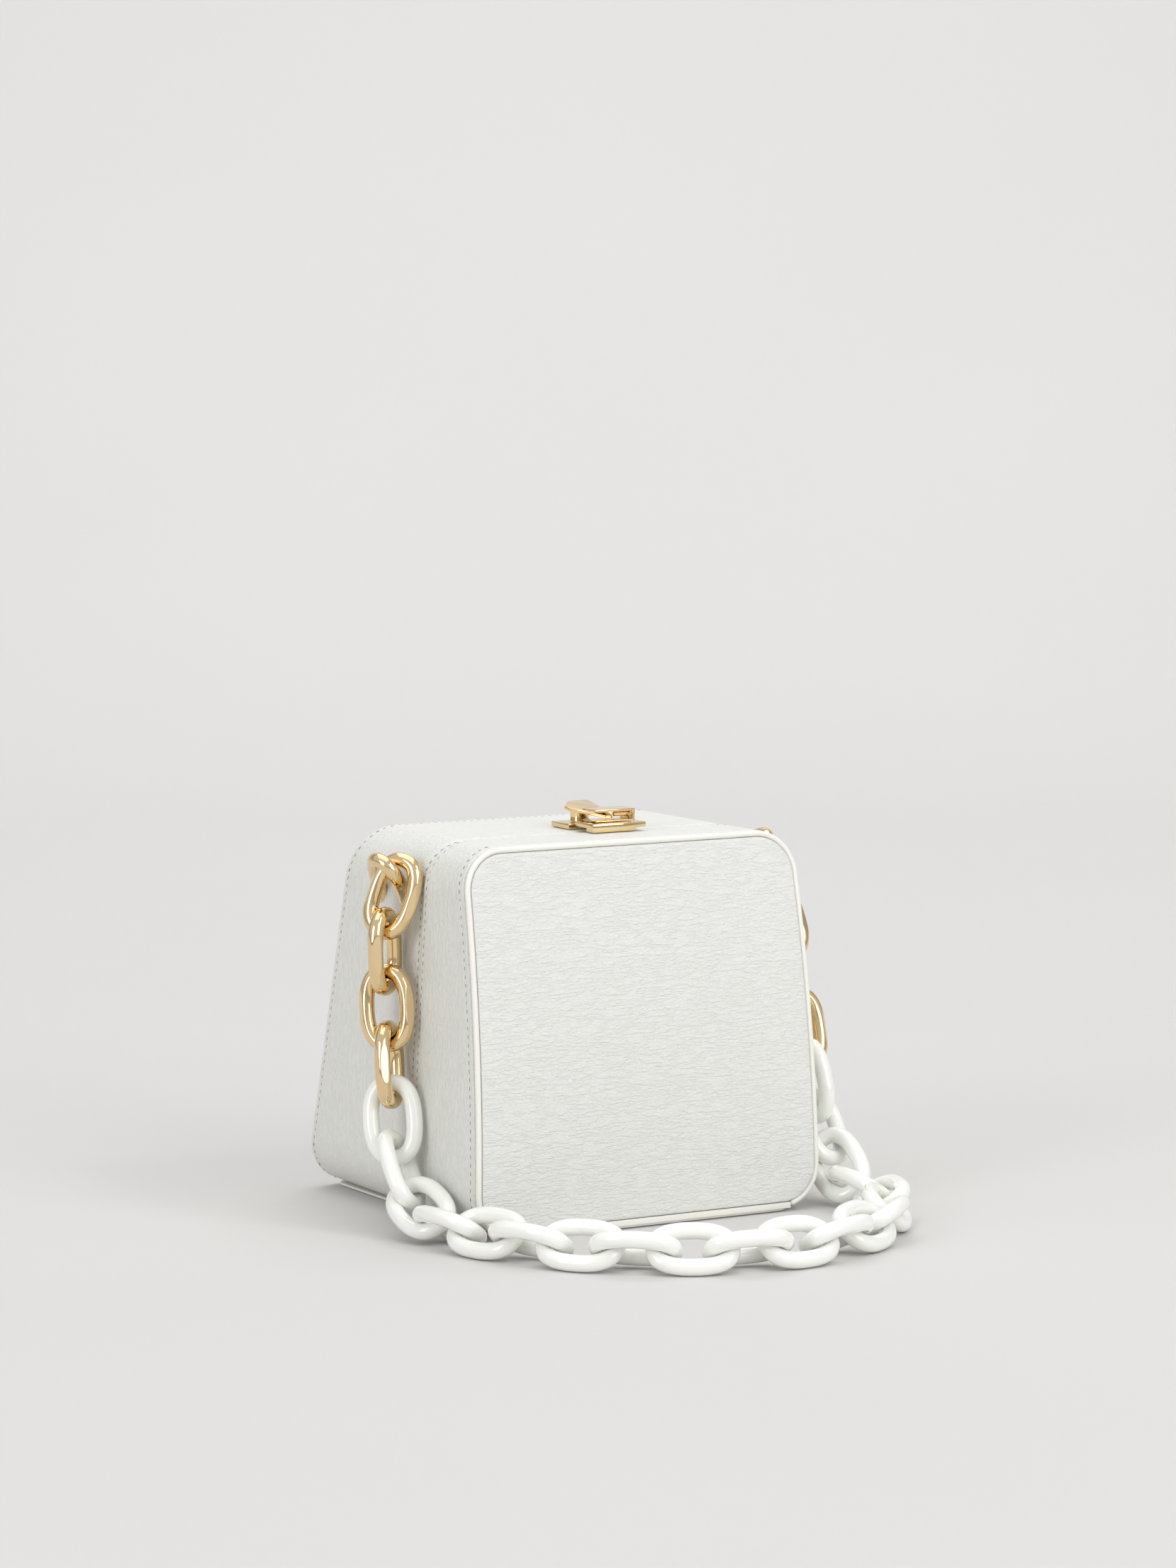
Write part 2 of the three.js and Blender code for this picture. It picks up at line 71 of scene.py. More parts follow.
# Mesh density of the leather and the piping
CORNER_STEPS = 16
SIDE_STEPS = 30
FRONT_BAND_STEPS = 46
BACK_BAND_STEPS = 72
FACE_SHARES = [0.04, 0.12, 0.2, 0.3, 0.4, 0.5, 0.6, 0.7, 0.78, 0.86, 0.92, 0.97, 1]
INNER_SHARES = [0.25, 0.5, 0.75, 1]
PIPING_SIDES = 20
PIPING_SKIPPED_STEPS = round(CORNER_STEPS / 6)

# Domed end of a tube, as rows of distance past the end and of width, in radii
DOME = [(0.6, 0.8), (0.9, 0.45)]

# Shading is sharp past the first angle, and the bevelled pieces' edges are dissolved below
# the second and rounded past the third
SMOOTH_ANGLE = math.radians(40)
FLAT_ANGLE = math.radians(2)
SHARP_ANGLE = math.radians(35)

# Stitches, in millimetres
STITCH_PITCH = 3.3
STITCH_SIZE = (1.05, 0.3, 0.26)
# Dark beads between the stitches are painted shade in the needle holes
HOLE_SHADE_SIZE = (0.8, 0.22, 0.16)
STITCH_LIFT = 0.05
HOLE_SHADE_LIFT = -0.02
STITCH_SLANT = math.radians(7)
STITCH_FREE_HEIGHT = 3
BEAD_SIDES = 8
BEAD_STATIONS = 6
STITCH_GROOVE = 0.22
STITCH_GROOVE_WIDTH = 1.1
FRONT_STITCH_SETBACK = 3.2
SEAM_STITCH_SETBACK = 2.4
BACK_STITCH_SETBACK = 2.6
RECESS_SHARE_AT_STITCHES = 0.75

# Links, in millimetres
GOLD_LINK = {"length": 35, "width": 23, "wire": 6.1}
ENAMEL_LINK = {"length": 36, "width": 24, "wire": 6.6}
WALL_RING = {"length": 46, "width": 21.5, "wire": 5.8}
RING_HOLE_CLEARANCE = 0.3
OVAL_POWER = 2.45
FACET_DEPTH = 0.55
FACET_ANGLE = math.radians(42)
FACETED_MESH = {"around": 160, "sides": 64}
PLAIN_MESH = {"around": 96, "sides": 28}

# Rounding of the hard pieces' edges, in millimetres
BASE_BEVEL = 0.35
LATCH_BEVELS = {
    "latch_back_plate": 0.3,
    "latch_lever": 0.22,
    "latch_front_plate": 0.45,
    "latch_keeper": 0.18,
}

# Tints between which each finish changes
# The leather's darker tint is painted shade in the creases and along the grain's cell edges
LEATHER_TINTS = [(0.735, 0.74, 0.70), (0.80, 0.805, 0.765)]
EDGING_TINTS = [(0.845, 0.83, 0.765), (0.895, 0.885, 0.82)]
THREAD_TINTS = [(0.70, 0.70, 0.66), (0.86, 0.86, 0.82)]
# The needle holes' tints are painted shade
HOLE_SHADE_TINTS = [(0.20, 0.19, 0.17), (0.34, 0.33, 0.30)]
GOLD_TINTS = [(0.82, 0.61, 0.33), (0.87, 0.68, 0.41)]
ENAMEL_TINTS = [(0.915, 0.925, 0.87), (0.94, 0.95, 0.90)]
FLOOR_TINTS = [(0.66, 0.645, 0.63), (0.68, 0.665, 0.65)]

# Leather grain, in cells, folds or pores a metre along x, y and z, and their shares of the relief
FACE_CELLS = (330, 330, 800)
SIDE_CELLS = (800, 620, 280)
CELL_EDGE_WIDTH = 0.16
CELL_SHARE = 0.45
FACE_CREASES = (95, 300, 430)
SIDE_CREASES = (430, 430, 110)
CREASE_WIDTH = 0.08
CREASE_SHARE = 0.75
PORES = 2600
PORE_SHARE = 0.2
LEATHER_RELIEF = 0.00024

# How far a surface faces sideways where the grain turns from that of the faces to the sides
SIDE_TURN = (0.55, 0.8)

# Values between which most of a noise lies
NOISE_SPAN = (0.3, 0.7)

# Camera: places in metres, lens and sensor in millimetres
CAMERA_PLACE = (-0.98095, -1.71988, 0.37115)
CAMERA_FORWARD = (0.49783, 0.86125, -0.10205)
CAMERA_RIGHT = (0.86577, -0.50045, 0)
CAMERA_LENS = 113.92
CAMERA_SENSOR = 36
CAMERA_REACH = 50

# Studio floor and backdrop, in metres
FLOOR_NEAR = -12.0
FLOOR_FAR = 1.4
FLOOR_HALF_WIDTH = 9.0
BACKDROP_BEND = 1.0
BACKDROP_BEND_STEPS = 24
BACKDROP_HEIGHT = 4.5

# Lamps: name, place and size in metres, power in watts, and what they point at
BAG_MIDDLE = (0, -0.03, 0.07)
BACKDROP_MIDDLE = (1.3, 2.3, 0.9)
LAMPS = [
    ("key", (0.6, -2.3, 1.15), (1.7, 1.7), 18.5, BAG_MIDDLE),
    ("top", (-0.1, 0.1, 2.3), (2.4, 2.0), 12.5, BAG_MIDDLE),
    ("spark", (0.9, -1.5, 2.0), (0.4, 0.4), 6, BAG_MIDDLE),
    ("left", (-2.2, -0.7, 0.9), (0.9, 1.4), 12, BAG_MIDDLE),
    ("backdrop", (0.7, 1.2, 2.6), (2.2, 1.0), 22, BACKDROP_MIDDLE),
]

# The sky goes from dim at the horizon to bright above: from these heights, to these shares
HORIZON_RAMP = (-0.05, 0.3, 0.0, 1.0)
SKY_LOW = (0.47, 0.46, 0.45, 1)
SKY_HIGH = (0.94, 0.95, 0.97, 1)
SKY_STRENGTH = 0.72


def smoothstep(low, high, value):
    share = min(max((value - low) / (high - low), 0), 1)
    return share * share * (3 - 2 * share)


def height_share(z):
    return (z - LEATHER_BOTTOM) / BODY_HEIGHT


def half_width(z):
    return (BOTTOM_WIDTH + (TOP_WIDTH - BOTTOM_WIDTH) * height_share(z)) / 2


def front_y(z):
    h = height_share(z)
    return -BOTTOM_DEPTH / 2 + FRONT_LEAN * h - 4 * FRONT_BOW * h * (1 - h)


def back_y(z):
    top_y = -BOTTOM_DEPTH / 2 + FRONT_LEAN + TOP_DEPTH
    return BOTTOM_DEPTH / 2 + (top_y - BOTTOM_DEPTH / 2) * height_share(z)


def seam_y(z):
    bottom_y = -BOTTOM_DEPTH / 2 + SEAM_SETBACK_BOTTOM
    top_y = -BOTTOM_DEPTH / 2 + FRONT_LEAN + SEAM_SETBACK_TOP
    return bottom_y + (top_y - bottom_y) * height_share(z)


def outline(inset, radius):
    """Rounded outline of the body in x and z, pulled in by an inset."""
    arc = max(radius - inset, SMALLEST_RADIUS)
    low_z = LEATHER_BOTTOM + inset + arc
    high_z = LEATHER_BOTTOM + BODY_HEIGHT - inset - arc
    corners = [(1, low_z, -90), (1, high_z, 0), (-1, high_z, 90), (-1, low_z, 180)]

    def corner_point(corner, step):
        side, middle_z, start = corner
        angle = math.radians(start + 90 * step / CORNER_STEPS)
        z = middle_z + arc * math.sin(angle)
        return side * (half_width(z) - inset - arc) + arc * math.cos(angle), z

    points = []
    for index, corner in enumerate(corners):
        points += [corner_point(corner, step) for step in range(CORNER_STEPS + 1)]
        from_x, from_z = points[-1]
        next_x, next_z = corner_point(corners[(index + 1) % 4], 0)
        for step in range(1, SIDE_STEPS):
            share = step / SIDE_STEPS
            points.append((from_x + (next_x - from_x) * share, from_z + (next_z - from_z) * share))
    return points


def ring(inset, radius, y_at):
    """The body's outline as points, at the y that belongs to each height."""
    return [(x, y_at(z), z) for x, z in outline(inset, radius)]


def face_rings(inset, radius, y_at, shares):
    """Rings that fill a face from its outline to its middle."""
    rings = []
    for share in shares:
        points = []
        for x, z in outline(inset, radius):
            high = MIDDLE_Z + (z - MIDDLE_Z) * share
            points.append((x * share, y_at(high), high))
        rings.append(points)
    return rings


def face_middle(y_at):
    return (0, y_at(MIDDLE_Z), MIDDLE_Z)


def add_to_scene(name, data):
    item = bpy.data.objects.new(name, data)
    bpy.context.scene.collection.objects.link(item)
    return item


def new_object(name, vertices, faces, finish, smooth_angle=None):
    """A mesh object from points in millimetres."""
    mesh = bpy.data.meshes.new(name)
    mesh.from_pydata([tuple(c * MM for c in v) for v in vertices], [], faces)
    mesh.validate()
    mesh.materials.append(finish)
    shade(mesh, smooth_angle)
    return add_to_scene(name, mesh)


def shade(mesh, smooth_angle):
    """Smooth shading, with sharp edges past an angle where one is given."""
    mesh.shade_smooth()
    if smooth_angle is not None:
        mesh.set_sharp_from_angle(angle=smooth_angle)


def skin_faces(count, sides, is_closed):
    """Faces between rings of points, each ring joined to the next."""
    faces = []
    for i in range(count if is_closed else count - 1):
        j = (i + 1) % count
        for s in range(sides):
            t = (s + 1) % sides
            faces.append((i * sides + s, i * sides + t, j * sides + t, j * sides + s))
    return faces


def lofted(name, first, rings, last, finish):
    """A closed mesh through rings of equal counts, ending on one point at each end."""
    count = len(rings[0])
    vertices = [first] + [p for points in rings for p in points] + [last]
    end = len(vertices) - 1
    faces = []
    for i in range(count):
        j = (i + 1) % count
        faces.append((0, 1 + i, 1 + j))
        for r in range(len(rings) - 1):
            here = 1 + r * count
            faces.append((here + i, here + count + i, here + count + j, here + j))
        here = 1 + (len(rings) - 1) * count
        faces.append((here + j, here + i, end))
    return new_object(name, vertices, faces, finish, SMOOTH_ANGLE)


def stitch_dent(y, rows):
    """How far the rows of stitches pull the leather in at a place on the band."""
    depths = [math.exp(-(((y - row(MIDDLE_Z)) / STITCH_GROOVE_WIDTH) ** 2)) for row in rows]
    return STITCH_GROOVE * sum(depths)


def band_rings(start_y, end_y, start_radius, end_radius, grooves, inset_at, steps):
    """Rings of the band between two curves in y, dented along the rows of stitches."""
    rings = []
    for step in range(steps + 1):
        share = step / steps
        radius = start_radius + (end_radius - start_radius) * share

        def y_at(z, share=share):
            return start_y(z) + (end_y(z) - start_y(z)) * share

        here = y_at(MIDDLE_Z)
        rings.append(ring(inset_at(here) + stitch_dent(here, grooves), radius, y_at))
    return rings


def front_stitch_y(z):
    return front_y(z) + PIPING_STEP + FRONT_STITCH_SETBACK


def seam_stitch_front_y(z):
    return seam_y(z) - SEAM_STITCH_SETBACK


def seam_stitch_back_y(z):
    return seam_y(z) + SEAM_STITCH_SETBACK


def back_stitch_y(z):
    return back_y(z) - BACK_STITCH_SETBACK


def shifted(y_at, shift):
    return lambda z: y_at(z) + shift


def edge_rings(base_inset, radius, y_at, direction, profile):
    """Rings of a rounded edge, whose profile has rows of inset and setback."""
    return [
        ring(base_inset + inset, radius, shifted(y_at, direction * setback))
        for inset, setback in profile
    ]


def front_half(finish):
    """The front panel and its band, from the middle outside round to the middle inside."""
    r = FRONT_RADIUS
    step = shifted(front_y, PIPING_STEP)
    inner = shifted(front_y, PANEL)
    rings = [
        *face_rings(PANEL_EDGE_INSET + PANEL_EDGE_WIDTH, r, front_y, FACE_SHARES),
        *edge_rings(PANEL_EDGE_INSET, r, front_y, 1, PANEL_EDGE),
        ring(PANEL_EDGE_INSET, r, step),
        *edge_rings(0, r, step, 1, BAND_EDGE),
        *band_rings(
            shifted(step, BAND_EDGE_WIDTH),
            shifted(seam_y, -BAND_EDGE_WIDTH),
            r,
            SEAM_RADIUS,
            [front_stitch_y, seam_stitch_front_y],
            lambda y: 0,
            FRONT_BAND_STEPS,
        ),
        *edge_rings(0, SEAM_RADIUS, seam_y, -1, SEAM_EDGE),
        ring(WALL, SEAM_RADIUS, shifted(seam_y, -SEAM_HALF_GAP)),
        ring(WALL, r, shifted(inner, PANEL)),
        *face_rings(WALL + PANEL, r, inner, reversed(INNER_SHARES)),
    ]
    return lofted("front_half", face_middle(front_y), rings, face_middle(inner), finish)


def back_half(finish):
    """The back panel and its band, from the middle inside round to the middle outside."""
    r = BACK_RADIUS
    inner = shifted(back_y, -PANEL)

    def recess(y):
        behind_seam = y - seam_y(MIDDLE_Z)
        return SEAM_RECESS * (1 - smoothstep(SEAM_RECESS_START, SEAM_RECESS_WIDTH, behind_seam))

    rings = [
        *face_rings(WALL, r, inner, INNER_SHARES),
        ring(WALL + SEAM_RECESS, SEAM_RADIUS, shifted(seam_y, SEAM_HALF_GAP)),
        *edge_rings(SEAM_RECESS, SEAM_RADIUS, seam_y, 1, reversed(SEAM_EDGE)),
        *band_rings(
            shifted(seam_y, BAND_EDGE_WIDTH),
            shifted(back_y, -BACK_EDGE_SETBACK),
            SEAM_RADIUS,
            r,
            [seam_stitch_back_y, back_stitch_y],
            recess,
            BACK_BAND_STEPS,
        ),
        *edge_rings(0, r, back_y, -1, BACK_EDGE),
        *face_rings(BACK_EDGE_WIDTH, r, back_y, reversed(FACE_SHARES)),
    ]
    return lofted("back_half", face_middle(inner), rings, face_middle(back_y), finish)


def row_frames(radius, inset, y_at, pitch):
    """Places at equal steps round the outline, with their direction and outward normal."""
    points = [Vector((x, y_at(z), z)) for x, z in outline(inset, radius)]
    points.append(points[0])
    frames = []
    travelled = 0
    for here, there in zip(points, points[1:]):
        length = (there - here).length
        while travelled < length:
            place = here.lerp(there, travelled / length)
            along = (there - here).normalized()
            out = along.cross(Vector((0, 1, 0))).normalized()
            frames.append((place, along, out))
            travelled += pitch
        travelled -= length
    return frames


def bead(place, axes, size):
    """An ellipsoid with half axes of the given size, as points and faces."""
    points = []
    for i in range(1, BEAD_STATIONS):
        polar = math.pi * i / BEAD_STATIONS
        for j in range(BEAD_SIDES):
            turn = 2 * math.pi * j / BEAD_SIDES
            local = (
                size[0] * math.cos(polar),
                size[1] * math.sin(polar) * math.cos(turn),
                size[2] * math.sin(polar) * math.sin(turn),
            )
            points.append(place + sum((a * c for a, c in zip(axes, local)), Vector()))
    points.append(place + axes[0] * size[0])
    points.append(place - axes[0] * size[0])
    first, last = len(points) - 2, len(points) - 1
    last_ring = (BEAD_STATIONS - 2) * BEAD_SIDES
    faces = skin_faces(BEAD_STATIONS - 1, BEAD_SIDES, False)
    for j in range(BEAD_SIDES):
        k = (j + 1) % BEAD_SIDES
        faces.append((first, j, k))
        faces.append((last, last_ring + k, last_ring + j))
    return points, faces


def over_base(place, radius):
    """Whether a place on the outline is on its straight lower edge."""
    is_low = place.z < LEATHER_BOTTOM + STITCH_FREE_HEIGHT
    return is_low and abs(place.x) < BOTTOM_WIDTH / 2 - radius


def bead_row(name, frames, finish, size, offset, lift):
    """Beads along a row, each moved on by a share of the pitch and lifted off the surface."""
    vertices, faces = [], []
    for place, along, out in frames:
        across = out.cross(along)
        middle = place + along * (offset * STITCH_PITCH) + out * lift
        turned = along * math.cos(STITCH_SLANT) + across * math.sin(STITCH_SLANT)
        turned.normalize()
        axes = (turned, out.cross(turned).normalized(), out)
        points, shape = bead(middle, axes, size)
        faces += [tuple(i + len(vertices) for i in face) for face in shape]
        vertices += points
    return new_object(name, vertices, faces, finish)


def stitch_row(name, radius, inset, y_at, thread, hole_shade):
    """A row of stitches in their groove, with dark beads of painted shade for the needle holes
    between them.
    """
    frames = [f for f in row_frames(radius, inset, y_at, STITCH_PITCH) if not over_base(f[0], radius)]
    return [
        bead_row(name, frames, thread, STITCH_SIZE, 0, STITCH_LIFT),
        # Dark beads of painted shade for the needle holes, half a pitch along
        bead_row(name + "_hole_shade", frames, hole_shade, HOLE_SHADE_SIZE, 0.5, HOLE_SHADE_LIFT),
    ]


def piping(finish):
    """The round piping along the front edge, from one end of the base over the top."""
    middle = PIPING_DIAMETER / 2 + PIPING_GAP
    per_side = CORNER_STEPS + SIDE_STEPS
    last = 3 * per_side + CORNER_STEPS + 1 - PIPING_SKIPPED_STEPS
    run = outline(middle, FRONT_RADIUS)[PIPING_SKIPPED_STEPS:last]
    path = [Vector((x, front_y(z) + middle, z)) for x, z in run]
    return tube("piping", path, PIPING_DIAMETER / 2, PIPING_SIDES, finish)


def tube(name, path, radius, sides, finish):
    """A round tube with domed ends along a path of points."""
    end = len(path) - 1
    rounds = [(0, -forward, scale) for forward, scale in reversed(DOME)]
    rounds += [(i, 0, 1) for i in range(len(path))]
    rounds += [(end, forward, scale) for forward, scale in DOME]
    vertices = []
    for index, forward, scale in rounds:
        along = (path[min(index + 1, end)] - path[max(index - 1, 0)]).normalized()
        side = along.cross(Vector((0, 1, 0))).normalized()
        up = side.cross(along)
        centre = path[index] + along * forward * radius
        for s in range(sides):
            angle = 2 * math.pi * s / sides
            out = side * math.cos(angle) + up * math.sin(angle)
            vertices.append(centre + out * radius * scale)
    faces = skin_faces(len(rounds), sides, False)
    faces.append(tuple(range(sides))[::-1])
    faces.append(tuple((len(rounds) - 1) * sides + s for s in range(sides)))
    return new_object(name, vertices, faces, finish)


def flattened(point, limit):
    """A point of a link, moved in where it is past one of the four long facets."""
    flat = Vector(
        (
            math.copysign(math.cos(FACET_ANGLE), point.x),
            0,
            math.copysign(math.sin(FACET_ANGLE), point.z),
        )
    )
    return point - flat * max(point.dot(flat) - limit, 0)


def power_circle(share):
    """Turns a cosine or a sine into that of a fuller oval."""
    return math.copysign(abs(share) ** (2 / OVAL_POWER), share)


def link_points(link, wire, around, sides, is_faceted):
    """A link in its own xy plane, long along y: points in rings, and their faces."""
    half_width_in = (link["width"] - link["wire"]) / 2
    half_length_in = (link["length"] - link["wire"]) / 2
    facet_limit = half_width_in * math.cos(FACET_ANGLE) + wire / 2 - FACET_DEPTH
    nearby = 0.01

    def oval_point(angle):
        x = half_width_in * power_circle(math.cos(angle))
        y = half_length_in * power_circle(math.sin(angle))
        return Vector((x, y, 0))

    vertices = []
    for station in range(around):
        angle = 2 * math.pi * (station + 0.5) / around
        centre = oval_point(angle)
        along = oval_point(angle + nearby) - oval_point(angle - nearby)
        out = along.cross(Vector((0, 0, 1))).normalized()
        for side in range(sides):
            turn = 2 * math.pi * side / sides
            point = centre + (out * math.cos(turn) + Vector((0, 0, math.sin(turn)))) * wire / 2
            vertices.append(flattened(point, facet_limit) if is_faceted else point)
    return vertices, skin_faces(around, sides, True)


def node_frame(node):
    """Middle of a link's node, with its directions across, along and out of its plane."""
    points = np.array([v.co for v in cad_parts[node].data.vertices])
    points = np.unique(points.round(6), axis=0)
    middle = points.mean(0)
    axes = np.linalg.svd(points - middle, full_matrices=False)[2]
    along, across = Vector(axes[0]), Vector(axes[1])
    return Vector(middle) / MM, across, along, across.cross(along)


def link_object(name, node, link, finish, is_faceted, extra_wire=0):
    """A smooth link in the place of a link's node."""
    middle, across, along, normal = node_frame(node)
    density = FACETED_MESH if is_faceted else PLAIN_MESH
    wire = link["wire"] + extra_wire
    points, faces = link_points(link, wire, density["around"], density["sides"], is_faceted)
    placed = [middle + across * p.x + along * p.y + normal * p.z for p in points]
    return new_object(name, placed, faces, finish)


def bevelled(name, node, width, finish):
    """A copy of a hard piece with its edges rounded off."""
    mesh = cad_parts[node].data.copy()
    work = bmesh.new()
    work.from_mesh(mesh)
    bmesh.ops.remove_doubles(work, verts=work.verts, dist=1e-6)
    bmesh.ops.dissolve_limit(work, angle_limit=FLAT_ANGLE, verts=work.verts, edges=work.edges)
    sharp = [e for e in work.edges if e.is_manifold and e.calc_face_angle() > SHARP_ANGLE]
    bmesh.ops.bevel(
        work,
        geom=sharp,
        offset=width * MM,
        segments=3,
        profile=0.5,
        affect="EDGES",
        clamp_overlap=True,
    )
    work.to_mesh(mesh)
    work.free()
    mesh.name = name
    mesh.materials.clear()
    mesh.materials.append(finish)
    shade(mesh, SMOOTH_ANGLE)
    return add_to_scene(name, mesh)


def cut(piece, cutter):
    """Takes the cutter's shape out of a piece."""
    modifier = piece.modifiers.new("cut", "BOOLEAN")
    modifier.operation = "DIFFERENCE"
    modifier.solver = "EXACT"
    modifier.object = cutter
    graph = bpy.context.evaluated_depsgraph_get()
    mesh = bpy.data.meshes.new_from_object(piece.evaluated_get(graph))
    piece.modifiers.clear()
    old = piece.data
    piece.data = mesh
    bpy.data.meshes.remove(old)
    bpy.data.objects.remove(cutter)


class Nodes:
    """Short calls for building a material's nodes."""

    def __init__(self, name):
        self.material = bpy.data.materials.new(name)
        self.material.use_nodes = True
        self.tree = self.material.node_tree
        self.shader = self.tree.nodes["Principled BSDF"]

    def add(self, kind, values=None, **settings):
        node = self.tree.nodes.new(kind)
        for key, value in settings.items():
            setattr(node, key, value)
        for key, value in (values or {}).items():
            if isinstance(value, bpy.types.NodeSocket):
                self.tree.links.new(value, node.inputs[key])
            else:
                node.inputs[key].default_value = value
        return node

    def math(self, operation, a, b=0.0, c=0.0):
        return self.add("ShaderNodeMath", {0: a, 1: b, 2: c}, operation=operation).outputs[0]

    def place(self, scale):
        """Object coordinates times a scale, which is one number or three."""
        if not isinstance(scale, tuple):
            scale = (scale, scale, scale)
        coordinates = self.add("ShaderNodeTexCoord").outputs["Object"]
        return self.add("ShaderNodeMapping", {"Vector": coordinates, "Scale": scale}).outputs[0]

    def noise(self, scale, detail=3, roughness=0.55):
        values = {"Vector": self.place(scale), "Scale": 1, "Detail": detail, "Roughness": roughness}
        return self.add("ShaderNodeTexNoise", values).outputs["Fac"]

    def cells(self, scale):
        values = {"Vector": self.place(scale), "Scale": 1, "Randomness": 1}
        node = self.add("ShaderNodeTexVoronoi", values, feature="DISTANCE_TO_EDGE")
        return node.outputs["Distance"]

    def range(self, value, from_low, from_high, low, high):
        values = {0: value, 1: from_low, 2: from_high, 3: low, 4: high}
        return self.add("ShaderNodeMapRange", values).outputs[0]

    def weighted(self, *parts):
        """The sum of values times their weights."""
        total = 0.0
        for value, weight in parts:
            total = self.math("MULTIPLY_ADD", value, weight, total)
        return total

    def mix(self, share, a, b):
        values = {0: share, 2: a, 3: b}
        return self.add("ShaderNodeMix", values, data_type="FLOAT").outputs[0]

    def colour(self, share, tints):
        """Sets the base colour between two tints."""
        values = {0: share, 6: (*tints[0], 1), 7: (*tints[1], 1)}
        self.set("Base Color", self.add("ShaderNodeMix", values, data_type="RGBA").outputs[2])

    def roughness(self, value, low, high, span=NOISE_SPAN):
        """Makes the surface rougher or smoother as a value goes through a span."""
        self.set("Roughness", self.range(value, *span, low, high))

    def bump(self, height, strength, distance):
        values = {"Height": height, "Strength": strength, "Distance": distance}
        self.set("Normal", self.add("ShaderNodeBump", values).outputs[0])

    def set(self, name, value):
        socket = self.shader.inputs[name]
        if isinstance(value, bpy.types.NodeSocket):
            self.tree.links.new(value, socket)
        else:
            socket.default_value = value


def leather_finish():
    """White leather with a fine grain, drawn out sideways on the faces and upwards on the sides, with
    painted shade in its creases and along its cell edges.
    """
    n = Nodes("leather_white")
    normal = n.add("ShaderNodeNewGeometry").outputs["True Normal"]
    split = n.add("ShaderNodeSeparateXYZ", {0: normal})
    on_side = n.range(n.math("ABSOLUTE", split.outputs[0]), *SIDE_TURN, 0, 1)

    def grain(scale_face, scale_side, kind):
        return n.mix(on_side, kind(scale_face), kind(scale_side))

    def folds(scale):
        off_middle = n.math("ABSOLUTE", n.math("SUBTRACT", n.noise(scale), 0.5))
        return n.range(off_middle, 0, CREASE_WIDTH, 0, 1)

    cells = n.range(grain(FACE_CELLS, SIDE_CELLS, n.cells), 0, CELL_EDGE_WIDTH, 0, 1)
    creases = grain(FACE_CREASES, SIDE_CREASES, folds)
    pores = n.noise(PORES, 2)
    cloud = n.noise(38)
    relief = n.weighted((cells, CELL_SHARE), (creases, CREASE_SHARE), (pores, PORE_SHARE))
    n.bump(relief, 0.8, LEATHER_RELIEF)
    # Base colour: painted shade darkens the creases and the grain's cell edges, and the cloud gives
    # an uneven tone
    n.colour(n.weighted((cells, 0.315), (cloud, 0.3), (creases, 0.3)), LEATHER_TINTS)
    n.roughness(creases, 0.58, 0.44, (0, 1))
    n.set("Specular IOR Level", 0.42)
    n.set("Sheen Weight", 0.06)
    n.set("Sheen Roughness", 0.4)
    return n.material


def edging_finish():
    """Smooth cream leather of the piping and the base."""
    n = Nodes("leather_edging")
    grain = n.noise(1400, 3)
    n.bump(grain, 0.25, 0.0001)
    n.colour(n.noise(90), EDGING_TINTS)
    n.roughness(grain, 0.36, 0.48)
    return n.material


def thread_finish():
    """White sewing thread with its twist."""
    n = Nodes("thread")
    twist = n.noise(3800, 2)
    n.bump(twist, 0.6, 0.00008)
    n.colour(twist, THREAD_TINTS)
    n.roughness(twist, 0.55, 0.7)
    return n.material


def hole_shade_finish():
    """Painted shade of the needle holes, on dark beads between the stitches."""
    n = Nodes("needle_hole_shade")
    spots = n.noise(900, 2)
    n.colour(spots, HOLE_SHADE_TINTS)
    n.roughness(spots, 0.8, 0.95)
    return n.material


def gold_finish():
    """Polished pale gold plating with faint wear."""
    n = Nodes("gold_plating")
    cloud = n.noise(140, 4)
    wear = n.noise((2200, 2200, 600), 3)
    n.colour(cloud, GOLD_TINTS)
    n.set("Metallic", 1.0)
    n.roughness(wear, 0.05, 0.1, (0.3, 0.75))
    n.bump(cloud, 0.03, 0.00004)
    return n.material


def enamel_finish():
    """Glossy white enamel, a little uneven."""
    n = Nodes("white_enamel")
    cloud = n.noise(160, 3)
    n.colour(cloud, ENAMEL_TINTS)
    n.roughness(n.noise(700), 0.06, 0.12)
    n.bump(cloud, 0.05, 0.0002)
    n.set("Coat Weight", 1.0)
    n.set("Coat Roughness", 0.03)
    return n.material


def floor_finish():
    """Matt pale paper of the studio."""
    n = Nodes("studio_floor")
    cloud = n.noise(3, 2)
    n.colour(cloud, FLOOR_TINTS)
    n.roughness(cloud, 0.8, 0.9, (0, 1))
    n.set("Specular IOR Level", 0.2)
    return n.material


def studio():
    """A pale floor that curves up into a backdrop."""
    profile = [(FLOOR_NEAR, 0.0), (FLOOR_FAR, 0.0)]
    for step in range(1, BACKDROP_BEND_STEPS + 1):
        angle = math.pi / 2 * step / BACKDROP_BEND_STEPS
        away = FLOOR_FAR + BACKDROP_BEND * math.sin(angle)
        profile.append((away, BACKDROP_BEND * (1 - math.cos(angle))))
    profile.append((FLOOR_FAR + BACKDROP_BEND, BACKDROP_HEIGHT))
    turn = Matrix.Rotation(math.atan2(-CAMERA_FORWARD[0], CAMERA_FORWARD[1]), 3, "Z")
    vertices = []
    for away, z in profile:
        for x in (-FLOOR_HALF_WIDTH, FLOOR_HALF_WIDTH):
            vertices.append(turn @ Vector((x, away, z)) / MM)
    faces = [(2 * i, 2 * i + 1, 2 * i + 3, 2 * i + 2) for i in range(len(profile) - 1)]
    floor = new_object("studio_floor", vertices, faces, floor_finish())


